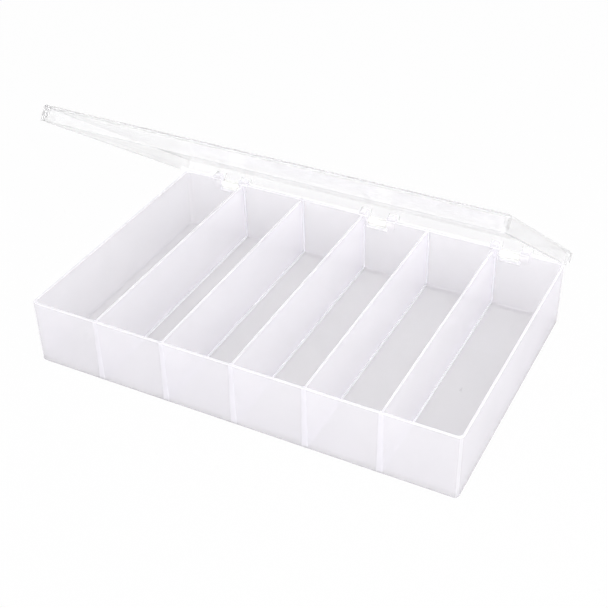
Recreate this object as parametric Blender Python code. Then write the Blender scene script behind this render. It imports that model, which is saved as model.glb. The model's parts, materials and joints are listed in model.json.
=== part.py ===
"""Compartment storage box: a translucent tray with six long compartments under a clear hinged lid.

Metres, +Z up. X runs along the box, -Y is its front and +Y its hinged back. The origin is the
centre of the tray's underside. The lid stands open at the angle it has in use.
"""

import math

import bmesh
import bpy
from mathutils import Matrix

for item in list(bpy.data.objects):
    bpy.data.objects.remove(item, do_unlink=True)

# Tray: outer size, walls and the rounding of its edges
tray_length = 0.275
tray_depth = 0.178
tray_height = 0.044
tray_wall = 0.0015
tray_floor = 0.002
floor_fillet = 0.0008
floor_corner = 0.0007
underside_round = 0.0015
rim_round = 0.0004

# Dividers: thicker at the foot, so that the moulding leaves its core
divider_count = 5
divider_top = 0.0012
divider_foot = 0.0022
fixed_gap = 0.0003

# Hinges: a lid knuckle between two ears of the back wall, on one pin. Each hinge has a name, the
# divider that its first ear stands on, and the side of that divider where its knuckle is.
hinge_plan = (
    ("left", 0, -1),
    ("centre", divider_count // 2, 1),
    ("right", divider_count - 1, 1),
)
axis_drop = 0.0042
axis_behind = 0.0004
pin_radius = 0.0011
pin_chamfer = 0.0003
running_gap = 0.0003
knuckle_wall = 0.001
knuckle_length = 0.013
knuckle_chamfer = 0.0003
notch_gap = 0.0004
notch_below = 0.0012
notch_corner = 0.0018
ear_width = 0.006
ear_wall = 0.0012
ear_rise = 0.0025
ear_top_corner = 0.0015
ear_edge = 0.0003
ear_gap = 0.0006
socket_end_wall = 0.001
mouth_height = 0.0018

# Lid: a shallow cover whose ledge seats on the rim and whose lip hangs outside the tray
lid_rise = 0.0072
lid_panel = 0.0015
lid_corner = 0.0026
lip_gap = 0.0005
lip_thickness = 0.0015
lip_drop = 0.0022
ledge_inset = 0.0006
seat_gap = 0.0003
lid_edge_round = 0.0015
lip_round = 0.0003
back_skirt_lift = 0.0005
lip_end = 0.009
swing_gap = 0.0004
window_corner = 0.0015
web_inset = 0.0001
lid_opening = math.radians(36.6)

# Every cut runs past the face it opens by this much
overrun = 0.002

corner_steps = 5
edge_steps = 3
round_sides = 32

# Sizes that follow from the ones above
inner_corner = floor_corner + floor_fillet
outer_corner = inner_corner + tray_wall
inner_length = tray_length - 2 * tray_wall
inner_depth = tray_depth - 2 * tray_wall
back_face = tray_depth / 2
axis_y = back_face + axis_behind
axis_z = tray_height - axis_drop
bore_radius = pin_radius + running_gap
knuckle_radius = bore_radius + knuckle_wall
ear_reach = bore_radius + ear_wall
socket_depth = ear_width - socket_end_wall
ear_swing = math.hypot(ear_reach, axis_drop + ear_rise)
window_top = ear_swing + swing_gap
pin_length = knuckle_length + 2 * (ear_gap + socket_depth - running_gap)
lip_reach = lip_gap + lip_thickness


def divider_place(index):
    """The X of a divider's middle plane: the dividers share the tray's length equally."""
    return tray_length * ((index + 1) / (divider_count + 1) - 1 / 2)


def material(name, colour, roughness, alpha):
    made = bpy.data.materials.new(name)
    made.use_nodes = True
    shader = made.node_tree.nodes["Principled BSDF"]
    shader.inputs["Base Color"].default_value = (*colour, 1)
    shader.inputs["Roughness"].default_value = roughness
    shader.inputs["Metallic"].default_value = 0
    shader.inputs["Alpha"].default_value = alpha
    return made


def piece(name, mesh, finish=None):
    """Turns a bmesh into a named object; without a finish it is a hidden cutter or filler."""
    mesh.normal_update()
    data = bpy.data.meshes.new(name)
    mesh.to_mesh(data)
    mesh.free()
    made = bpy.data.objects.new(name, data)
    bpy.context.collection.objects.link(made)
    if finish is None:
        made.hide_render = True
        made.display_type = "WIRE"
    else:
        data.materials.append(finish)
        data.shade_smooth()
        data.set_sharp_from_angle(angle=math.radians(30))
    return made


def combine(target, operation, other):
    modifier = target.modifiers.new(f"{operation.lower()} {other.name}", "BOOLEAN")
    modifier.operation = operation
    modifier.object = other
    modifier.solver = "EXACT"


def rounded_ring(length, depth, radius, height):
    """A rounded rectangle about the origin, counter-clockwise seen from above."""
    points = []
    for quarter, (side_x, side_y) in enumerate(((1, 1), (-1, 1), (-1, -1), (1, -1))):
        for step in range(corner_steps + 1):
            angle = math.pi / 2 * (quarter + step / corner_steps)
            x = side_x * (length / 2 - radius) + radius * math.cos(angle)
            y = side_y * (depth / 2 - radius) + radius * math.sin(angle)
            points.append((x, y, height))
    return points


def skin(mesh, rings):
    """Joins rings of equal count into one closed surface, capped at the first and the last."""
    loops = [[mesh.verts.new(point) for point in ring] for ring in rings]
    mesh.faces.new(reversed(loops[0]))
    for lower, upper in zip(loops, loops[1:]):
        for index in range(len(lower)):
            after = (index + 1) % len(lower)
            mesh.faces.new((lower[index], lower[after], upper[after], upper[index]))
    mesh.faces.new(loops[-1])


def quarter_round(radius):
    """Steps of a quarter circle as (1 - sine, 1 - cosine) times the radius, from flat to upright."""
    turns = [math.pi / 2 * step / edge_steps for step in range(edge_steps + 1)]
    return [(radius * (1 - math.sin(turn)), radius * (1 - math.cos(turn))) for turn in turns]


def box(mesh, low, high):
    skin(mesh, [
        [(low[0], low[1], z), (high[0], low[1], z), (high[0], high[1], z), (low[0], high[1], z)]
        for z in (low[2], high[2])
    ])


def turned_along_x(mesh, middle, profile):
    """A solid of revolution about X; the profile is (distance along X, radius), from low X up."""
    skin(mesh, [
        [
            (
                middle[0] + along,
                middle[1] + radius * math.cos(2 * math.pi * side / round_sides),
                middle[2] + radius * math.sin(2 * math.pi * side / round_sides),
            )
            for side in range(round_sides)
        ]
        for along, radius in profile
    ])


def plate_along_y(mesh, outline, low, high, edge):
    """An outline of (x, z) points, clockwise seen from -Y, as a plate between two Y values."""
    middle_x = sum(x for x, z in outline) / len(outline)
    middle_z = sum(z for x, z in outline) / len(outline)
    half_x = max(x for x, z in outline) - middle_x
    half_z = max(z for x, z in outline) - middle_z

    def ring(y, inset):
        return [
            (
                middle_x + (x - middle_x) * (1 - inset / half_x),
                y,
                middle_z + (z - middle_z) * (1 - inset / half_z),
            )
            for x, z in outline
        ]

    if edge:
        skin(mesh, [ring(low, edge), ring(low + edge, 0), ring(high - edge, 0), ring(high, edge)])
    else:
        skin(mesh, [ring(low, 0), ring(high, 0)])


def arc(middle_x, middle_z, radius, start, end):
    """Points of an arc in the XZ plane, angles in quarter turns from +X towards +Z."""
    turns = [start + (end - start) * step / corner_steps for step in range(corner_steps + 1)]
    return [
        (
            middle_x + radius * math.cos(math.pi / 2 * turn),
            middle_z + radius * math.sin(math.pi / 2 * turn),
        )
        for turn in turns
    ]


class Hinge:
    """Where one hinge stands along X: its knuckle between the ear on a divider and the outer ear."""

    def __init__(self, name, divider, side):
        self.name = name
        self.divider = divider
        reach = knuckle_length / 2 + ear_gap + ear_width / 2
        self.knuckle_x = divider_place(divider) + side * reach
        self.ears = [(self.knuckle_x - reach, 1), (self.knuckle_x + reach, -1)]
        self.half_span = reach + ear_width / 2


hinges = [Hinge(name, divider, side) for name, divider, side in hinge_plan]

milky = material("tray_plastic", (0.86, 0.86, 0.9), 0.35, 0.7)
clear = material("lid_plastic", (0.93, 0.93, 0.93), 0.08, 0.35)
pin_plastic = material("pin_plastic", (0.88, 0.88, 0.84), 0.25, 0.8)


def tray():
    """The open tray: floor, four walls and rim as one skin, then its ears, notches and sockets."""
    rings = [
        rounded_ring(
            tray_length - 2 * inset, tray_depth - 2 * inset, outer_corner - inset, height
        )
        for inset, height in quarter_round(underside_round)
    ]
    rings += [
        rounded_ring(
            tray_length - 2 * inset, tray_depth - 2 * inset, outer_corner - inset, tray_height - drop
        )
        for drop, inset in quarter_round(rim_round)
    ]
    rings += [
        rounded_ring(
            inner_length + 2 * inset, inner_depth + 2 * inset, inner_corner + inset, tray_height - drop
        )
        for drop, inset in reversed(quarter_round(rim_round))
    ]
    rings += [
        rounded_ring(
            inner_length - 2 * inset, inner_depth - 2 * inset, inner_corner - inset, tray_floor + lift
        )
        for inset, lift in reversed(quarter_round(floor_fillet))
    ]
    shell = bmesh.new()
    skin(shell, rings)
    made = piece("tray", shell, milky)

    ears = bmesh.new()
    notches = bmesh.new()
    sockets = bmesh.new()
    mouths = bmesh.new()
    top = tray_height + ear_rise
    for hinge in hinges:
        for x, towards in hinge.ears:
            half = ear_width / 2
            outline = arc(x, axis_z, half, 0, -1) + arc(x, axis_z, half, -1, -2)[1:]
            outline += arc(x - half + ear_top_corner, top - ear_top_corner, ear_top_corner, 2, 1)
            outline += arc(x + half - ear_top_corner, top - ear_top_corner, ear_top_corner, 1, 0)
            plate_along_y(
                ears, outline, axis_y - ear_reach, axis_y + ear_reach, ear_edge
            )
            inner_end = x + towards * (half + overrun)
            blind_end = x + towards * (half - socket_depth)
            low, high = sorted((inner_end, blind_end))
            turned_along_x(
                sockets, (0, axis_y, axis_z), [(low, bore_radius), (high, bore_radius)]
            )
            box(
                mouths,
                (low, axis_y, axis_z - mouth_height / 2),
                (high, axis_y + ear_reach + overrun, axis_z + mouth_height / 2),
            )
        half = knuckle_length / 2 + notch_gap
        bottom = axis_z - knuckle_radius - notch_below
        x = hinge.knuckle_x
        outline = arc(x + half - notch_corner, bottom + notch_corner, notch_corner, 0, -1)
        outline += arc(x - half + notch_corner, bottom + notch_corner, notch_corner, -1, -2)
        outline += [(x - half, top + overrun), (x + half, top + overrun)]
        plate_along_y(
            notches,
            outline,
            back_face - tray_wall - overrun,
            back_face + overrun,
            0,
        )
    combine(made, "UNION", piece("ear_bodies", ears))
    combine(made, "DIFFERENCE", piece("notch_cutters", notches))
    combine(made, "DIFFERENCE", piece("socket_cutters", sockets))
    combine(made, "DIFFERENCE", piece("mouth_cutters", mouths))


def divider(index):
    """One divider: a panel that tapers towards the rim, cut out at the back where an ear stands."""
    end = inner_depth / 2 - fixed_gap
    foot = tray_floor + fixed_gap
    outline = [
        (-end, tray_height),
        (-end, foot + floor_fillet),
        (floor_fillet - end, foot),
        (end - floor_fillet, foot),
        (end, foot + floor_fillet),
    ]
    if index in [hinge.divider for hinge in hinges]:
        ear_front = axis_y - ear_reach - fixed_gap
        ear_bottom = axis_z - ear_width / 2 - fixed_gap
        outline += [(end, ear_bottom), (ear_front, ear_bottom), (ear_front, tray_height)]
    else:
        outline += [(end, tray_height)]

    def half_thickness(z):
        share = (z - foot) / (tray_height - foot)
        return (divider_foot + (divider_top - divider_foot) * share) / 2

    x = divider_place(index)
    panel = bmesh.new()
    skin(panel, [
        [(x + side * half_thickness(z), y, z) for y, z in outline]
        for side in (-1, 1)
    ])
    piece(f"divider_{index + 1}", panel, milky)


lid_hinge = bpy.data.objects.new("lid_hinge", None)
lid_hinge.location = (0, axis_y, axis_z)
lid_hinge.rotation_euler = (-lid_opening, 0, 0)
bpy.context.collection.objects.link(lid_hinge)


def hang_on_lid(made):
    """Pieces of the lid are drawn as it lies closed, then swing with the hinge's empty."""
    made.data.transform(Matrix.Translation((0, -axis_y, -axis_z)))
    made.parent = lid_hinge
    return made


def lid():
    """The lid: panel, skirt with its inner ledge and lower lip, hinge windows and knuckles."""
    top = tray_height + lid_rise
    underside = top - lid_panel
    ledge = tray_height + seat_gap
    lip_bottom = tray_height - lip_drop

    def ring(outset, radius, height):
        return rounded_ring(tray_length + 2 * outset, tray_depth + 2 * outset, radius, height)

    def inside(outset, height):
        return ring(outset, outer_corner + outset, height)

    def outside(inset, height):
        return ring(lip_reach - inset, lid_corner - inset, height)

    rings = [inside(-ledge_inset, underside), inside(-ledge_inset, ledge), inside(lip_gap, ledge)]
    rings += [inside(lip_gap, lip_bottom + lip_round), inside(lip_gap + lip_round, lip_bottom)]
    rings += [outside(lip_round, lip_bottom), outside(0, lip_bottom + lip_round)]
    rings += [outside(inset, top - drop) for drop, inset in quarter_round(lid_edge_round)]
    shell = bmesh.new()
    skin(shell, rings)
    made = hang_on_lid(piece("lid", shell, clear))

    back_lip = bmesh.new()
    width = tray_length / 2 + lip_reach + overrun
    box(
        back_lip,
        (-width, back_face - lip_end, lip_bottom - overrun),
        (width, back_face + lip_reach + overrun, tray_height + back_skirt_lift),
    )
    windows = bmesh.new()
    webs = bmesh.new()
    barrels = bmesh.new()
    bores = bmesh.new()
    for hinge in hinges:
        x = hinge.knuckle_x
        half = hinge.half_span + ear_gap
        window_z = axis_z + window_top
        outline = arc(x - half + window_corner, window_z - window_corner, window_corner, 2, 1)
        outline += arc(x + half - window_corner, window_z - window_corner, window_corner, 1, 0)
        outline += [(x + half, tray_height - overrun), (x - half, tray_height - overrun)]
        plate_along_y(
            windows,
            outline,
            back_face - ledge_inset - overrun,
            back_face + lip_reach + overrun,
            0,
        )
        half = knuckle_length / 2
        box(
            webs,
            (x - half + web_inset, back_face - ledge_inset + web_inset, axis_z),
            (x + half - web_inset, back_face + lip_reach - web_inset, underside + lid_panel / 2),
        )
        turned_along_x(barrels, (x, axis_y, axis_z), [
            (-half, knuckle_radius - knuckle_chamfer),
            (knuckle_chamfer - half, knuckle_radius),
            (half - knuckle_chamfer, knuckle_radius),
            (half, knuckle_radius - knuckle_chamfer),
        ])
        turned_along_x(bores, (x, axis_y, axis_z), [
            (-half - overrun, bore_radius),
            (half + overrun, bore_radius),
        ])
    combine(made, "DIFFERENCE", hang_on_lid(piece("back_lip_cutter", back_lip)))
    combine(made, "DIFFERENCE", hang_on_lid(piece("window_cutters", windows)))
    combine(made, "UNION", hang_on_lid(piece("web_bodies", webs)))
    combine(made, "UNION", hang_on_lid(piece("barrel_bodies", barrels)))
    combine(made, "DIFFERENCE", hang_on_lid(piece("bore_cutters", bores)))


def hinge_pin(hinge):
    """A plain round pin through one knuckle, its ends in the sockets of the two ears."""
    half = pin_length / 2
    rod = bmesh.new()
    turned_along_x(rod, (0, 0, 0), [
        (-half, pin_radius - pin_chamfer),
        (pin_chamfer - half, pin_radius),
        (half - pin_chamfer, pin_radius),
        (half, pin_radius - pin_chamfer),
    ])
    made = piece(f"hinge_pin_{hinge.name}", rod, pin_plastic)
    made.location = (hinge.knuckle_x, 0, 0)
    made.parent = lid_hinge


tray()
for index in range(divider_count):
    divider(index)
lid()
for hinge in hinges:
    hinge_pin(hinge)
bpy.context.view_layer.update()
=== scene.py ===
import json
import math

import bmesh
import bpy
from mathutils import Matrix, Vector


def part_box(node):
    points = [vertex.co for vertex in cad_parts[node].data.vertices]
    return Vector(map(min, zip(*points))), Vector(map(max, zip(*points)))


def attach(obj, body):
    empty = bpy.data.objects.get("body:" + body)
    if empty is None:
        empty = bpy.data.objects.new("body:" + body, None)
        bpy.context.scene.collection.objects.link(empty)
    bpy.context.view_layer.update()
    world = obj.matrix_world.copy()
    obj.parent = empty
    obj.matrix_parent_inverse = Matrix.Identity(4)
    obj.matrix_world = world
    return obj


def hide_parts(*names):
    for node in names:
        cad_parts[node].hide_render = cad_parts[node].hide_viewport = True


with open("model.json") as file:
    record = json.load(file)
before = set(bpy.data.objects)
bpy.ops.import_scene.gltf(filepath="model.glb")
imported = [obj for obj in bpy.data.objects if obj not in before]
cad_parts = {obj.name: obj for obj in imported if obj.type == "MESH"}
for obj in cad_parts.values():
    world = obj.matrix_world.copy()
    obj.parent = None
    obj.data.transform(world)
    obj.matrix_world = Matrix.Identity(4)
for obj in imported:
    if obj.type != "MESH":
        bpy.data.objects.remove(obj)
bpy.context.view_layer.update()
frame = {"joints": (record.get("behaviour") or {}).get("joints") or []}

hinge_joint = frame["joints"][0]

# The tray is one moulding of milky polypropylene: a flat floor, four thin walls, and along the
# back wall three notches, each between two ears that carry the lid's hinge pin.
# Its faces have the fine satin of a lightly blasted mould.
tray_length = 0.275
tray_depth = 0.178
tray_height = 0.044
tray_wall = 0.0015
tray_floor = 0.002
tray_outer_corner = 0.003
tray_inner_corner = 0.0028
floor_fillet = 0.0009
underside_round = 0.0015
rim_round = 0.0005
corner_steps = 10
edge_steps = 4
back_face = tray_depth / 2


def rounded_ring(length, depth, radius, height):
    """A rounded rectangle about the origin, counter-clockwise seen from above."""
    points = []
    for quarter, (side_x, side_y) in enumerate(((1, 1), (-1, 1), (-1, -1), (1, -1))):
        for step in range(corner_steps + 1):
            angle = math.pi / 2 * (quarter + step / corner_steps)
            x = side_x * (length / 2 - radius) + radius * math.cos(angle)
            y = side_y * (depth / 2 - radius) + radius * math.sin(angle)
            points.append((x, y, height))
    return points


def skin(mesh, rings):
    """Joins rings of equal count into one closed surface, capped at the first and the last."""
    loops = [[mesh.verts.new(point) for point in ring] for ring in rings]
    mesh.faces.new(reversed(loops[0]))
    for lower, upper in zip(loops, loops[1:]):
        for index in range(len(lower)):
            after = (index + 1) % len(lower)
            mesh.faces.new((lower[index], lower[after], upper[after], upper[index]))
    mesh.faces.new(loops[-1])


def quarter_round(radius, steps=edge_steps):
    """Pairs (1 - sine, 1 - cosine) of a quarter circle times the radius, from flat to upright."""
    turns = [math.pi / 2 * step / steps for step in range(steps + 1)]
    return [(radius * (1 - math.sin(turn)), radius * (1 - math.cos(turn))) for turn in turns]


def piece(name, mesh):
    mesh.normal_update()
    data = bpy.data.meshes.new(name)
    mesh.to_mesh(data)
    mesh.free()
    made = bpy.data.objects.new(name, data)
    bpy.context.scene.collection.objects.link(made)
    return made


def apply_modifiers(made):
    graph = bpy.context.evaluated_depsgraph_get()
    data = bpy.data.meshes.new_from_object(made.evaluated_get(graph))
    made.modifiers.clear()
    made.data = data


def combine(target, operation, tool):
    """Joins the tool to the target or cuts it out of it, and removes the tool."""
    modifier = target.modifiers.new(operation, "BOOLEAN")
    modifier.operation = operation
    modifier.object = tool
    modifier.solver = "EXACT"
    apply_modifiers(target)
    bpy.data.objects.remove(tool)


def smooth(made, angle=30):
    made.data.shade_smooth()
    made.data.set_sharp_from_angle(angle=math.radians(angle))


def box(mesh, low, high):
    skin(mesh, [
        [(low[0], low[1], z), (high[0], low[1], z), (high[0], high[1], z), (low[0], high[1], z)]
        for z in (low[2], high[2])
    ])


def turned_along_x(mesh, middle, profile, sides=48):
    """A solid of revolution about X; the profile is (distance along X, radius), from low X up."""
    skin(mesh, [
        [
            (
                middle[0] + along,
                middle[1] + radius * math.cos(2 * math.pi * side / sides),
                middle[2] + radius * math.sin(2 * math.pi * side / sides),
            )
            for side in range(sides)
        ]
        for along, radius in profile
    ])


def arc(middle_x, middle_z, radius, start, end, steps=8):
    """Points of an arc in the XZ plane, angles in quarter turns from +X towards +Z."""
    turns = [start + (end - start) * step / steps for step in range(steps + 1)]
    return [
        (
            middle_x + radius * math.cos(math.pi / 2 * turn),
            middle_z + radius * math.sin(math.pi / 2 * turn),
        )
        for turn in turns
    ]


def plate_along_y(mesh, outline, low, high, edge=0):
    """An outline of (x, z) points, clockwise seen from -Y, as a plate between two Y values."""
    middle_x = (min(x for x, z in outline) + max(x for x, z in outline)) / 2
    middle_z = (min(z for x, z in outline) + max(z for x, z in outline)) / 2
    half_x = max(x for x, z in outline) - middle_x
    half_z = max(z for x, z in outline) - middle_z

    def ring(y, inset):
        return [
            (
                middle_x + (x - middle_x) * (1 - inset / half_x),
                y,
                middle_z + (z - middle_z) * (1 - inset / half_z),
            )
            for x, z in outline
        ]

    rounding = quarter_round(edge) if edge else [(0, 0)]
    rings = [ring(low + rise, inset) for inset, rise in rounding]
    rings += [ring(high - rise, inset) for inset, rise in reversed(rounding)]
    skin(mesh, rings)


axis_y, axis_z = hinge_joint["pos_m"][1:]
knuckle_length = 0.013
knuckle_radius = 0.0024
bore_radius = 0.0014
ear_width = 0.006
ear_reach = 0.0026
ear_rise = 0.0025
ear_top_corner = 0.0015
ear_edge = 0.0004
ear_gap = 0.0006
notch_gap = 0.0004
notch_below = 0.0012
notch_corner = 0.0018
socket_depth = 0.005
mouth_height = 0.0018
overrun = 0.002
knuckle_reach = knuckle_length / 2 + ear_gap + ear_width / 2


def divider_x(index):
    low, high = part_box(f"divider_{index}")
    return (low.x + high.x) / 2


knuckle_places = {
    "left": divider_x(1) - knuckle_reach,
    "centre": divider_x(3) + knuckle_reach,
    "right": divider_x(5) + knuckle_reach,
}

tray_mesh = bmesh.new()
tray_rings = [
    rounded_ring(
        tray_length - 2 * inset, tray_depth - 2 * inset, tray_outer_corner - inset, height
    )
    for inset, height in quarter_round(underside_round)
]
tray_rings += [
    rounded_ring(
        tray_length - 2 * inset,
        tray_depth - 2 * inset,
        tray_outer_corner - inset,
        tray_height - drop,
    )
    for drop, inset in quarter_round(rim_round)
]
tray_rings += [
    rounded_ring(
        tray_length - 2 * tray_wall + 2 * inset,
        tray_depth - 2 * tray_wall + 2 * inset,
        tray_inner_corner + inset,
        tray_height - drop,
    )
    for drop, inset in reversed(quarter_round(rim_round))
]
tray_rings += [
    rounded_ring(
        tray_length - 2 * tray_wall - 2 * inset,
        tray_depth - 2 * tray_wall - 2 * inset,
        tray_inner_corner - inset,
        tray_floor + lift,
    )
    for inset, lift in reversed(quarter_round(floor_fillet))
]
skin(tray_mesh, tray_rings)
tray = piece("tray_moulding", tray_mesh)

ears = bmesh.new()
notches = bmesh.new()
sockets = bmesh.new()
mouths = bmesh.new()
ear_top = tray_height + ear_rise
for knuckle_x in knuckle_places.values():
    half = ear_width / 2
    for ear_x, towards in ((knuckle_x - knuckle_reach, 1), (knuckle_x + knuckle_reach, -1)):
        outline = arc(ear_x, axis_z, half, 0, -1) + arc(ear_x, axis_z, half, -1, -2)[1:]
        corner_z = ear_top - ear_top_corner
        outline += arc(ear_x - half + ear_top_corner, corner_z, ear_top_corner, 2, 1)
        outline += arc(ear_x + half - ear_top_corner, corner_z, ear_top_corner, 1, 0)
        plate_along_y(ears, outline, axis_y - ear_reach, axis_y + ear_reach, ear_edge)
        low, high = sorted(
            (ear_x + towards * (half + overrun), ear_x + towards * (half - socket_depth))
        )
        turned_along_x(sockets, (0, axis_y, axis_z), [(low, bore_radius), (high, bore_radius)])
        box(
            mouths,
            (low, axis_y, axis_z - mouth_height / 2),
            (high, axis_y + ear_reach + overrun, axis_z + mouth_height / 2),
        )
    half = knuckle_length / 2 + notch_gap
    bottom = axis_z - knuckle_radius - notch_below
    outline = arc(knuckle_x + half - notch_corner, bottom + notch_corner, notch_corner, 0, -1)
    outline += arc(knuckle_x - half + notch_corner, bottom + notch_corner, notch_corner, -1, -2)
    outline += [(knuckle_x - half, ear_top + overrun), (knuckle_x + half, ear_top + overrun)]
    plate_along_y(notches, outline, back_face - tray_wall - overrun, back_face + overrun)
combine(tray, "UNION", piece("ear_blanks", ears))
combine(tray, "DIFFERENCE", piece("notch_cutters", notches))
combine(tray, "DIFFERENCE", piece("socket_cutters", sockets))
combine(tray, "DIFFERENCE", piece("mouth_cutters", mouths))
smooth(tray)


def new_material(name):
    made = bpy.data.materials.new(name)
    made.use_nodes = True
    made.node_tree.nodes.clear()
    return made, made.node_tree.nodes, made.node_tree.links


def noise(nodes, links, scale, detail, stretch=(1, 1, 1)):
    """A noise pattern in the piece's own coordinates; the scale is in features per metre."""
    place = nodes.new("ShaderNodeTexCoord")
    mapping = nodes.new("ShaderNodeMapping")
    mapping.inputs["Scale"].default_value = stretch
    pattern = nodes.new("ShaderNodeTexNoise")
    pattern.inputs["Scale"].default_value = scale
    pattern.inputs["Detail"].default_value = detail
    links.new(place.outputs["Object"], mapping.inputs["Vector"])
    links.new(mapping.outputs["Vector"], pattern.inputs["Vector"])
    return pattern.outputs["Fac"]


noise_span = (0.3, 0.7)


def ranged(nodes, links, value, low, high, start=noise_span[0], end=noise_span[1]):
    """Low up to the start, high from the end on, and even between the two."""
    ramp = nodes.new("ShaderNodeMapRange")
    ramp.inputs["From Min"].default_value = start
    ramp.inputs["From Max"].default_value = end
    ramp.inputs["To Min"].default_value = low
    ramp.inputs["To Max"].default_value = high
    links.new(value, ramp.inputs["Value"])
    return ramp.outputs["Result"]


def tinted(nodes, links, value, dark, light):
    ramp = nodes.new("ShaderNodeValToRGB")
    ramp.color_ramp.interpolation = "EASE"
    for element, position, colour in zip(ramp.color_ramp.elements, noise_span, (dark, light)):
        element.position = position
        element.color = (*colour, 1)
    links.new(value, ramp.inputs["Fac"])
    return ramp.outputs["Color"]


def bumped(nodes, links, value, depth, below=None):
    bump = nodes.new("ShaderNodeBump")
    bump.inputs["Distance"].default_value = depth
    links.new(value, bump.inputs["Height"])
    if below is not None:
        links.new(below, bump.inputs["Normal"])
    return bump.outputs["Normal"]


def put(links, value, socket):
    """Sets a socket to a number or a colour, or links the output of another node to it."""
    if isinstance(value, bpy.types.NodeSocket):
        links.new(value, socket)
    else:
        socket.default_value = value


def maths(nodes, links, operation, first, second, clamped=True):
    made = nodes.new("ShaderNodeMath")
    made.operation = operation
    made.use_clamp = clamped
    for socket, value in zip(made.inputs, (first, second)):
        put(links, value, socket)
    return made.outputs["Value"]


def blended(nodes, links, share, first, second):
    """A blend of two colours."""
    made = nodes.new("ShaderNodeMix")
    made.data_type = "RGBA"
    for socket, value in (("Factor", share), ("A", first), ("B", second)):
        put(links, value, made.inputs[socket])
    return made.outputs["Result"]


def mixed(nodes, links, share, first, second):
    """A mix of two shaders."""
    made = nodes.new("ShaderNodeMixShader")
    for socket, value in zip(made.inputs, (share, first, second)):
        put(links, value, socket)
    return made.outputs["Shader"]


def scattering(nodes, links, colour, normal=None):
    """Half of the light scatters back from the surface, and half goes on through it."""
    sides = []
    for kind in ("ShaderNodeBsdfDiffuse", "ShaderNodeBsdfTranslucent"):
        side = nodes.new(kind)
        put(links, colour, side.inputs["Color"])
        if normal is not None:
            links.new(normal, side.inputs["Normal"])
        sides.append(side.outputs["BSDF"])
    return mixed(nodes, links, 0.5, *sides)


def finished(nodes, links, shader, kind="ShaderNodeOutputMaterial"):
    output = nodes.new(kind)
    links.new(shader, output.inputs["Surface"])


def place_parts(nodes, links):
    place = nodes.new("ShaderNodeTexCoord")
    parts = nodes.new("ShaderNodeSeparateXYZ")
    links.new(place.outputs["Object"], parts.inputs["Vector"])
    return parts.outputs


def distance_from_zero(nodes, links, value):
    return maths(nodes, links, "ABSOLUTE", value, 0, False)


def sum_of_squares(nodes, links, first, second):
    squares = [maths(nodes, links, "MULTIPLY", side, side, False) for side in (first, second)]
    return maths(nodes, links, "ADD", *squares, False)


def near_rim(nodes, links, place):
    """Up to rim_share along the rounded rim, and 0 on the ears that stand above it."""
    below = ranged(
        nodes, links, place["Z"], 0, rim_share, tray_height - rim_depth, tray_height - rim_fade
    )
    above = ranged(nodes, links, place["Z"], 1, 0, tray_height + rim_fade, tray_height + rim_depth)
    return maths(nodes, links, "MULTIPLY", below, above)


def near_notch(nodes, links, place):
    """1 along the edges of the three notches, where the back wall ends in a thick rounded edge."""
    off = 1
    for knuckle_x in knuckle_places.values():
        away = maths(nodes, links, "SUBTRACT", place["X"], knuckle_x, False)
        off = maths(nodes, links, "MINIMUM", off, distance_from_zero(nodes, links, away))
    half = knuckle_length / 2 + notch_gap + notch_edge
    beside = ranged(nodes, links, off, 1, 0, half, half + rim_fade)
    bottom = axis_z - knuckle_radius - notch_below - notch_edge
    above = ranged(nodes, links, place["Z"], 0, 1, bottom - rim_fade, bottom)
    behind = maths(nodes, links, "GREATER_THAN", place["Y"], back_face - tray_wall - rim_fade)
    return maths(
        nodes, links, "MULTIPLY", beside, maths(nodes, links, "MULTIPLY", above, behind)
    )


def front_corner_highlight(nodes, links, place):
    """Up to the joint depth down the two front corners: a painted highlight for the bright line
    there, where the bend also thickens the wall.
    """
    across = distance_from_zero(nodes, links, place["X"])
    reach = tray_outer_corner - corner_highlight_edge
    side = ranged(
        nodes, links, across, 0, 1, tray_length / 2 - reach, tray_length / 2 - reach + rim_fade
    )
    front = ranged(
        nodes, links, place["Y"], joint_and_highlight_depth, 0, reach - rim_fade - back_face, reach - back_face
    )
    return maths(nodes, links, "MULTIPLY", side, front)


def painted_foot_shade(nodes, links, place):
    """Up to its set depth, painted shade round the foot of the outer walls, for the contact shadow
    along their bottom edge.
    """
    across = distance_from_zero(nodes, links, place["X"])
    along = distance_from_zero(nodes, links, place["Y"])
    side = maths(nodes, links, "GREATER_THAN", across, tray_length / 2 - tray_wall)
    end = maths(nodes, links, "GREATER_THAN", along, tray_depth / 2 - tray_wall)
    low = ranged(nodes, links, place["Z"], foot_shade_depth, 0, *foot_shade_band)
    return maths(nodes, links, "MULTIPLY", low, maths(nodes, links, "MAXIMUM", side, end))


def at_gate_mark(nodes, links, place):
    """Up to gate_mark_depth on the small mark that the mould's gate left on the sixth floor."""
    mark_x, mark_y = gate_mark
    across = maths(nodes, links, "SUBTRACT", place["X"], mark_x, False)
    across = maths(nodes, links, "DIVIDE", across, gate_mark_half[0], False)
    along = maths(nodes, links, "SUBTRACT", place["Y"], mark_y, False)
    along = maths(nodes, links, "DIVIDE", along, gate_mark_half[1], False)
    off = sum_of_squares(nodes, links, across, along)
    near = ranged(nodes, links, off, gate_mark_depth, 0, *gate_mark_fade)
    on_floor = maths(nodes, links, "LESS_THAN", place["Z"], tray_floor + rim_fade)
    return maths(nodes, links, "MULTIPLY", near, on_floor)


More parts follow.
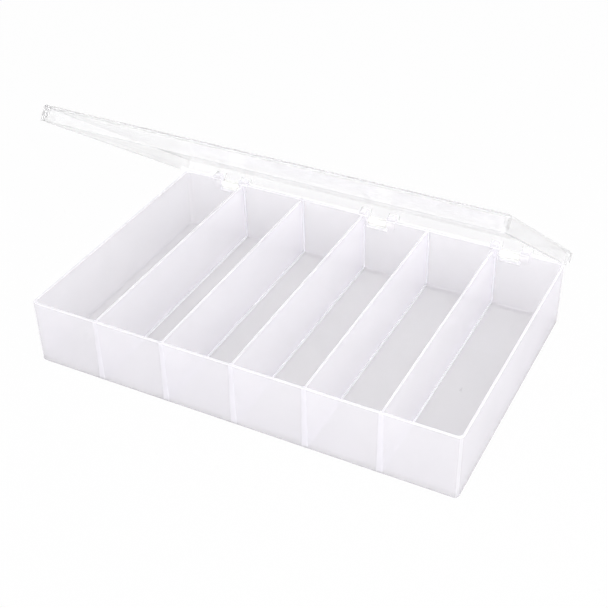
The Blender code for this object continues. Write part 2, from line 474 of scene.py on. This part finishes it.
def near_divider(nodes, links, place):
    """Up to joint_and_highlight_depth on the front and back walls where a divider runs into them, wider
    towards the floor."""
    across = distance_from_zero(nodes, links, place["X"])
    along = distance_from_zero(nodes, links, place["Y"])
    off = maths(nodes, links, "PINGPONG", across, divider_spacing / 2, False)
    taper = ranged(nodes, links, place["Z"], joint_half_foot, joint_half_top, 0, tray_height)
    off = maths(nodes, links, "SUBTRACT", off, taper, False)
    joint = ranged(nodes, links, off, 1, 0, 0, joint_fade)
    between = maths(nodes, links, "LESS_THAN", across, divider_count / 2 * divider_spacing)
    in_wall = maths(nodes, links, "GREATER_THAN", along, tray_depth / 2 - tray_wall - joint_fade)
    in_wall = maths(nodes, links, "MULTIPLY", in_wall, joint_and_highlight_depth)
    return maths(
        nodes, links, "MULTIPLY", joint, maths(nodes, links, "MULTIPLY", between, in_wall)
    )


def milky_polypropylene(name, where_deep, where_shaded_or_marked=()):
    """Milky moulding under a satin skin: at each surface a share of the light goes straight on,
    and the rest scatters to both sides. The deep places are too thick to see into and stay white;
    on the tray's front corners this is a painted highlight. Places given painted shade or a mark are
    darker."""
    made, nodes, links = new_material(name)
    clouds = noise(nodes, links, cloud_scale, 1)
    satin = noise(nodes, links, satin_scale, 2)
    flow = noise(nodes, links, flow_scale, 1, flow_stretch)
    normal = bumped(nodes, links, flow, flow_depth)
    normal = bumped(nodes, links, satin, satin_depth, normal)
    place = place_parts(nodes, links)
    deep = 0
    for deep_place in where_deep:
        deep = maths(nodes, links, "MAXIMUM", deep, deep_place(nodes, links, place))
    colour = tinted(nodes, links, clouds, milky_dark, milky_light)
    colour = blended(nodes, links, deep, colour, (*deep_white, 1))
    for shaded_or_marked_place in where_shaded_or_marked:
        shaded = shaded_or_marked_place(nodes, links, place)
        colour = blended(nodes, links, shaded, colour, (*shade_and_mark_grey, 1))
    share = ranged(
        nodes,
        links,
        clouds,
        milky_clear_share - milky_share_spread,
        milky_clear_share + milky_share_spread,
    )
    shallow = maths(nodes, links, "SUBTRACT", 1, deep)
    share = maths(nodes, links, "MULTIPLY", share, shallow)
    through = nodes.new("ShaderNodeBsdfTransparent")
    through.inputs["Color"].default_value = (*milky_through, 1)
    scatter = scattering(nodes, links, colour, normal)
    wall = mixed(nodes, links, share, scatter, through.outputs["BSDF"])
    gloss = nodes.new("ShaderNodeBsdfGlossy")
    gloss.inputs["Color"].default_value = (1, 1, 1, 1)
    links.new(ranged(nodes, links, clouds, *skin_roughness), gloss.inputs["Roughness"])
    links.new(normal, gloss.inputs["Normal"])
    finished(nodes, links, mixed(nodes, links, skin_gloss, wall, gloss.outputs["BSDF"]))
    return made


def coat(made, material):
    made.data.materials.clear()
    made.data.materials.append(material)
    for face in made.data.polygons:
        face.material_index = 0


rim_depth = 0.0006
rim_share = 0.7
rim_fade = 0.0003
notch_edge = 0.0005
# Inset of the painted highlight down the front corners.
corner_highlight_edge = 0.0012
joint_half_top = 0.0011
joint_half_foot = 0.0018
joint_fade = 0.0004
joint_and_highlight_depth = 0.24
# Band and depth of the painted shade round the foot of the outer walls.
foot_shade_band = (0.0003, 0.0015)
foot_shade_depth = 0.6
gate_mark = (0.1069, -0.0046)
gate_mark_half = (0.0006, 0.0021)
gate_mark_depth = 0.9
gate_mark_fade = (0.3, 1.2)
# Grey of the painted foot shade and of the gate mark.
shade_and_mark_grey = (0.3, 0.29, 0.33)
deep_white = (0.9, 0.895, 0.92)
milky_dark = (0.93, 0.925, 0.95)
milky_light = (0.955, 0.95, 0.97)
milky_through = (0.995, 0.99, 0.995)
milky_clear_share = 0.7
milky_share_spread = 0.015
cloud_scale = 18
satin_scale = 2600
satin_depth = 0.000008
flow_scale = 60
flow_stretch = (1, 0.15, 0.6)
flow_depth = 0.00002
skin_gloss = 0.05
skin_roughness = (0.17, 0.25)
divider_count = 5
divider_spacing = divider_x(3) - divider_x(2)
tray_plastic = milky_polypropylene(
    "milky_tray_wall",
    # The front corners carry a painted highlight.
    (near_rim, near_divider, near_notch, front_corner_highlight),
    # Painted shade at the foot of the walls, and the real gate mark on the sixth floor.
    (painted_foot_shade, at_gate_mark),
)
coat(tray, tray_plastic)
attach(tray, "tray_body")
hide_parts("tray")

# The five dividers are moulded in one with the tray: thin panels flush with the rim, thicker at
# the foot so that the mould can draw, with a small fillet where they meet the floor and the walls.
divider_top = 0.0012
divider_foot = 0.0022
divider_fillet = 0.0008
divider_crest = 0.0004
sunk_in_wall = 0.0007
sunk_in_floor = 0.0006
fillet_steps = 5


def fillet_flare(distance):
    """How far a fillet stands out of a face at a distance from the face that it runs into."""
    if distance >= divider_fillet:
        return 0
    return divider_fillet - math.sqrt(divider_fillet**2 - (divider_fillet - distance) ** 2)


def divider_section(x, end_distance):
    """The panel's outline across its length, (x, z) points clockwise seen from the front."""
    fillet = [divider_fillet * step / fillet_steps for step in range(fillet_steps + 1)]
    heights = [-sunk_in_floor] + fillet + [tray_height - tray_floor - divider_crest]
    slope = (divider_foot - divider_top) / 2 / (tray_height - tray_floor)
    flare = fillet_flare(end_distance)
    side = [
        (
            divider_foot / 2 - slope * height + max(fillet_flare(max(height, 0)), flare),
            tray_floor + height,
        )
        for height in heights
    ]
    half = side[-1][0]
    crest = [
        (half - inset, tray_height - drop)
        for drop, inset in quarter_round(divider_crest)[1:]
    ]
    right = side + crest
    left = [(-offset, z) for offset, z in right]
    return [(x + offset, z) for offset, z in left + right[::-1]]


def divider_panel(mesh, x):
    inside = back_face - tray_wall
    near = [divider_fillet * step / fillet_steps for step in range(fillet_steps + 1)]
    distances = [(-inside - sunk_in_wall, 0)]
    distances += [(-inside + distance, distance) for distance in near]
    distances += [(inside - distance, distance) for distance in reversed(near)]
    distances += [(inside + sunk_in_wall, 0)]
    skin(mesh, [
        [(px, y, pz) for px, pz in divider_section(x, distance)]
        for y, distance in distances
    ])


foot_band = (0.0006, 0.0009)
end_band = (0.0003, 0.0005)


def near_foot_or_end(nodes, links, place):
    """1 along the panel's foot and down its two ends, where the fillets thicken it."""
    foot = ranged(nodes, links, place["Z"], 1, 0, *(tray_floor + rise for rise in foot_band))
    along = distance_from_zero(nodes, links, place["Y"])
    inside = back_face - tray_wall
    end = ranged(nodes, links, along, 1, 0, *(inside - way for way in end_band))
    return maths(nodes, links, "MAXIMUM", foot, end)


divider_plastic = milky_polypropylene("milky_divider", (near_rim, near_foot_or_end))
for index in range(1, divider_count + 1):
    panel = bmesh.new()
    divider_panel(panel, divider_x(index))
    divider = piece(f"divider_panel_{index}", panel)
    smooth(divider)
    coat(divider, divider_plastic)
    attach(divider, "tray_body")
    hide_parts(f"divider_{index}")

# The lid is one moulding of water-clear polystyrene: a flat panel with a skirt round it. Inside the
# skirt a ledge seats on the tray's rim, and below the ledge a thin lip hangs outside the tray. Three
# knuckles hang from the back skirt, each above an arched window that leaves room for the ears.
lid_rise = 0.0072
lid_panel = 0.0015
lid_corner = 0.0026
lip_gap = 0.0005
lip_thickness = 0.0015
lip_drop = 0.0022
ledge_inset = 0.0006
seat_gap = 0.0003
lid_edge_round = 0.0015
lid_inner_round = 0.0006
lip_round = 0.0004
clear_edge_steps = 14
back_skirt_lift = 0.0005
lip_end = 0.009
window_corner = 0.0015
window_top = 0.0077
web_inset = 0.0001
knuckle_chamfer = 0.0004
lid_smooth_angle = 3
lid_opening = -math.radians(hinge_joint["range_deg"][0])
lip_reach = lip_gap + lip_thickness
lid_top = tray_height + lid_rise
lid_underside = lid_top - lid_panel
lip_bottom = tray_height - lip_drop
ledge_height = tray_height + seat_gap


def lid_inside(outset, height):
    return rounded_ring(
        tray_length + 2 * outset, tray_depth + 2 * outset, tray_outer_corner + outset, height
    )


def lid_outside(inset, height):
    outset = lip_reach - inset
    return rounded_ring(
        tray_length + 2 * outset, tray_depth + 2 * outset, lid_corner - inset, height
    )


lid_mesh = bmesh.new()
lid_rings = [
    lid_inside(-ledge_inset - inset, lid_underside - drop)
    for inset, drop in quarter_round(lid_inner_round, clear_edge_steps)
]
lid_rings += [lid_inside(-ledge_inset, ledge_height), lid_inside(lip_gap, ledge_height)]
lid_rings += [
    lid_inside(lip_gap + inset, lip_bottom + rise)
    for rise, inset in quarter_round(lip_round, clear_edge_steps)
]
lid_rings += [
    lid_outside(inset, lip_bottom + rise)
    for rise, inset in reversed(quarter_round(lip_round, clear_edge_steps))
]
lid_rings += [
    lid_outside(inset, lid_top - drop)
    for drop, inset in quarter_round(lid_edge_round, clear_edge_steps)
]
skin(lid_mesh, lid_rings)
lid = piece("lid_moulding", lid_mesh)

back_lip = bmesh.new()
windows = bmesh.new()
webs = bmesh.new()
barrels = bmesh.new()
bores = bmesh.new()
lid_half = tray_length / 2 + lip_reach + overrun
box(
    back_lip,
    (-lid_half, back_face - lip_end, lip_bottom - overrun),
    (lid_half, back_face + lip_reach + overrun, tray_height + back_skirt_lift),
)
for knuckle_x in knuckle_places.values():
    half = knuckle_reach + ear_width / 2 + ear_gap
    corner_z = axis_z + window_top - window_corner
    outline = arc(knuckle_x - half + window_corner, corner_z, window_corner, 2, 1)
    outline += arc(knuckle_x + half - window_corner, corner_z, window_corner, 1, 0)
    outline += [
        (knuckle_x + half, tray_height - overrun),
        (knuckle_x - half, tray_height - overrun),
    ]
    plate_along_y(
        windows,
        outline,
        back_face - ledge_inset - overrun,
        back_face + lip_reach + overrun,
    )
    half = knuckle_length / 2
    box(
        webs,
        (knuckle_x - half + web_inset, back_face - ledge_inset + web_inset, axis_z),
        (
            knuckle_x + half - web_inset,
            back_face + lip_reach - web_inset,
            lid_underside + lid_panel / 2,
        ),
    )
    rounding = quarter_round(knuckle_chamfer)
    profile = [(-half + along, knuckle_radius - inset) for inset, along in rounding]
    profile += [(half - along, knuckle_radius - inset) for inset, along in reversed(rounding)]
    turned_along_x(barrels, (knuckle_x, axis_y, axis_z), profile)
    turned_along_x(
        bores,
        (knuckle_x, axis_y, axis_z),
        [(-half - overrun, bore_radius), (half + overrun, bore_radius)],
    )
combine(lid, "DIFFERENCE", piece("back_lip_cutter", back_lip))
combine(lid, "DIFFERENCE", piece("window_cutters", windows))
combine(lid, "UNION", piece("web_blanks", webs))
combine(lid, "UNION", piece("barrel_blanks", barrels))
combine(lid, "DIFFERENCE", piece("bore_cutters", bores))
to_axis = Matrix.Translation((0, axis_y, axis_z))
swing_open = to_axis @ Matrix.Rotation(-lid_opening, 4, "X") @ to_axis.inverted()
lid.data.transform(swing_open)
smooth(lid, lid_smooth_angle)


def round_the_axis(nodes, links):
    """Up to the whitish share round the hinge axis, over the knuckles and the pins."""
    place = place_parts(nodes, links)
    along = maths(nodes, links, "SUBTRACT", place["Y"], axis_y, False)
    rise = maths(nodes, links, "SUBTRACT", place["Z"], axis_z, False)
    off = maths(nodes, links, "SQRT", sum_of_squares(nodes, links, along, rise), 0, False)
    return ranged(nodes, links, off, hinge_whitish_share, 0, *hinge_whitish_band)


def clear_polystyrene(name, tint, roughness, glass_share):
    """Polished clear moulding, whitish round the hinge axis. The glass share of it bends
    and mirrors light, the rest lets it by, and the lamps shine through it."""
    made, nodes, links = new_material(name)
    ripples = noise(nodes, links, ripple_scale, 2)
    rubs = noise(nodes, links, rub_scale, 4, rub_stretch)
    body = nodes.new("ShaderNodeBsdfPrincipled")
    body.inputs["Base Color"].default_value = (*tint, 1)
    body.inputs["IOR"].default_value = polystyrene_ior
    body.inputs["Transmission Weight"].default_value = 1
    links.new(ranged(nodes, links, rubs, *roughness), body.inputs["Roughness"])
    links.new(bumped(nodes, links, ripples, ripple_depth), body.inputs["Normal"])
    straight = nodes.new("ShaderNodeBsdfRefraction")
    straight.inputs["Color"].default_value = (*tint, 1)
    straight.inputs["IOR"].default_value = 1
    straight.inputs["Roughness"].default_value = 0
    clear = mixed(nodes, links, glass_share, straight.outputs["BSDF"], body.outputs["BSDF"])
    scatter = scattering(nodes, links, (*hinge_whitish_colour, 1))
    face = mixed(nodes, links, round_the_axis(nodes, links), clear, scatter)
    unshaded = nodes.new("ShaderNodeBsdfTransparent")
    unshaded.inputs["Color"].default_value = (*tint, 1)
    shadow = nodes.new("ShaderNodeLightPath").outputs["Is Shadow Ray"]
    finished(nodes, links, mixed(nodes, links, shadow, face, unshaded.outputs["BSDF"]))
    return made


polystyrene_ior = 1.59
ripple_scale = 9
ripple_depth = 0.0002
rub_scale = 420
rub_stretch = (1, 0.2, 1)
hinge_whitish_colour = (0.95, 0.95, 0.92)
hinge_whitish_share = 0.28
hinge_whitish_band = (0.0027, 0.0033)
lid_tint = (0.998, 0.998, 1)
lid_roughness = (0.05, 0.1)
lid_glass_share = 0.72
coat(lid, clear_polystyrene("clear_lid_moulding", lid_tint, lid_roughness, lid_glass_share))
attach(lid, "lid_body")
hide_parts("lid")

# A round pin runs through each knuckle, and its rounded ends snap into the sockets of the ears.
# It is a clear plastic with a faint warm tint.
pin_round = 0.0004
pin_tint = (0.995, 0.99, 0.98)
pin_roughness = (0.05, 0.15)
pin_glass_share = 0.3
pin_plastic = clear_polystyrene("warm_clear_pin", pin_tint, pin_roughness, pin_glass_share)
for name in knuckle_places:
    low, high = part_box(f"hinge_pin_{name}")
    radius = (high.z - low.z) / 2
    rounding = quarter_round(pin_round)
    profile = [(low.x + along, radius - inset) for inset, along in rounding]
    profile += [(high.x - along, radius - inset) for inset, along in reversed(rounding)]
    rod = bmesh.new()
    turned_along_x(rod, (0, axis_y, axis_z), profile)
    pin = piece(f"pin_{name}", rod)
    smooth(pin)
    coat(pin, pin_plastic)
    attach(pin, "lid_body")
    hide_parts(f"hinge_pin_{name}")

# The box stands on a wide pale table. Seen by the camera it is close to white and keeps a faint
# shadow; seen through the milky plastic it is the shaded table itself, and clear plastic shows a
# soft shade on it behind the tray.
table_size = 6
table_paint = (0.62, 0.61, 0.62)
table_white_share = 0.97
table_near_share = 0.6
table_far_share = 1
shade_middle = 0.12
shade_half_length = 0.20625
shade_half_depth = 0.0534
shade_fade = (0.9, 1.3)
table_mesh = bmesh.new()
bmesh.ops.create_grid(table_mesh, x_segments=1, y_segments=1, size=table_size / 2)
table = piece("table", table_mesh)


def rays(nodes, links, *kinds):
    """1 for light rays of any of these kinds."""
    path = nodes.new("ShaderNodeLightPath")
    found = 0
    for kind in kinds:
        found = maths(nodes, links, "ADD", found, path.outputs[kind])
    return found


def seen_directly(nodes, links):
    """1 for what the camera sees itself, or in a reflection, or through clear plastic."""
    return rays(nodes, links, "Is Camera Ray", "Is Glossy Ray", "Is Transmission Ray")


def plainly_seen(nodes, links):
    """1 for what the camera sees itself and for scattered light, 0 for what clear plastic shows."""
    return rays(nodes, links, "Is Camera Ray", "Is Diffuse Ray")


table_material, nodes, links = new_material("pale_table")
path = nodes.new("ShaderNodeLightPath")
unveiled = maths(nodes, links, "LESS_THAN", path.outputs["Transparent Depth"], 1)
shown_white = maths(nodes, links, "MULTIPLY", seen_directly(nodes, links), unveiled)
place = nodes.new("ShaderNodeTexCoord")
around = nodes.new("ShaderNodeVectorMath")
around.operation = "MULTIPLY_ADD"
around.inputs[1].default_value = (1 / shade_half_length, 1 / shade_half_depth, 1)
around.inputs[2].default_value = (0, -shade_middle / shade_half_depth, 0)
links.new(place.outputs["Object"], around.inputs[0])
away = nodes.new("ShaderNodeVectorMath")
away.operation = "LENGTH"
links.new(around.outputs["Vector"], away.inputs[0])
lit = ranged(nodes, links, away.outputs["Value"], table_near_share, table_far_share, *shade_fade)
lit = maths(nodes, links, "MAXIMUM", lit, plainly_seen(nodes, links))
shown_white = maths(nodes, links, "MULTIPLY", shown_white, lit)
shown_white = maths(nodes, links, "MULTIPLY", shown_white, table_white_share)
paint = nodes.new("ShaderNodeBsdfDiffuse")
paint.inputs["Color"].default_value = (*table_paint, 1)
white = nodes.new("ShaderNodeEmission")
white.inputs["Color"].default_value = (1, 1, 1, 1)
top = mixed(nodes, links, shown_white, paint.outputs["BSDF"], white.outputs["Emission"])
finished(nodes, links, top)
coat(table, table_material)

# Soft light comes from all round, and from four wide lamps above, in front and on both sides.
# The room is white to the camera, and clear plastic shows it darker near the table.
room_levels = (0.5, 1)
room_band = (0.1, 0.3)
surround_colour = (0.98, 0.98, 1)
surround_strength = 0.66
world = bpy.data.worlds.new("white_studio")
bpy.context.scene.world = world
world.use_nodes = True
nodes, links = world.node_tree.nodes, world.node_tree.links
nodes.clear()
surround = nodes.new("ShaderNodeBackground")
surround.inputs["Color"].default_value = (*surround_colour, 1)
surround.inputs["Strength"].default_value = surround_strength
backdrop = nodes.new("ShaderNodeBackground")
backdrop.inputs["Color"].default_value = (1, 1, 1, 1)
heading = nodes.new("ShaderNodeTexCoord")
heights = nodes.new("ShaderNodeSeparateXYZ")
links.new(heading.outputs["Generated"], heights.inputs["Vector"])
mirrored = ranged(nodes, links, heights.outputs["Z"], *room_levels, *room_band)
level = maths(nodes, links, "MAXIMUM", mirrored, plainly_seen(nodes, links))
links.new(level, backdrop.inputs["Strength"])
seen = seen_directly(nodes, links)
room = mixed(nodes, links, seen, surround.outputs["Background"], backdrop.outputs["Background"])
finished(nodes, links, room, "ShaderNodeOutputWorld")


def lamp(name, place, size, energy):
    data = bpy.data.lights.new(name, "AREA")
    data.size = size
    data.energy = energy
    made = bpy.data.objects.new(name, data)
    made.location = place
    made.rotation_euler = (-made.location).to_track_quat("-Z", "Y").to_euler()
    bpy.context.scene.collection.objects.link(made)


lamps = {
    "top_lamp": {"place": (0.4, 0, 1.1), "size": 1.2, "energy": 4.2},
    "front_lamp": {"place": (0.7, -0.75, 0.65), "size": 1.2, "energy": 8.6},
    "left_lamp": {"place": (-0.5, -0.85, 0.75), "size": 1.4, "energy": 5.6},
    "right_lamp": {"place": (0.8, 0.05, 0.5), "size": 0.7, "energy": 1.1},
}
for name, values in lamps.items():
    lamp(name, **values)

# The camera looks down on the box from the front right, as in the photograph.
view_azimuth = math.radians(27.69)
view_elevation = math.radians(35.94)
view_roll = math.radians(-1.1)
view_distance = 0.7293
aim = Vector((-0.0014, 0.00356, 0.02511))
focal_pixels = 1172.4
picture_pixels = 608
back = Vector((
    math.sin(view_azimuth) * math.cos(view_elevation),
    -math.cos(view_azimuth) * math.cos(view_elevation),
    math.sin(view_elevation),
))
level_right = Vector((math.cos(view_azimuth), math.sin(view_azimuth), 0))
level_up = back.cross(level_right)
right = math.cos(view_roll) * level_right + math.sin(view_roll) * level_up
up = back.cross(right)
camera_data = bpy.data.cameras.new("camera")
camera_data.lens = camera_data.sensor_width * focal_pixels / picture_pixels
camera = bpy.data.objects.new("camera", camera_data)
camera_turn = Matrix((right, up, back)).transposed().to_4x4()
camera.matrix_world = Matrix.Translation(aim + view_distance * back) @ camera_turn
bpy.context.scene.collection.objects.link(camera)
bpy.context.scene.camera = camera
bpy.context.scene.view_settings.view_transform = "Standard"
cycles = bpy.context.scene.cycles
cycles.transparent_max_bounces = 32
cycles.max_bounces = 64
cycles.glossy_bounces = 64
cycles.transmission_bounces = 64
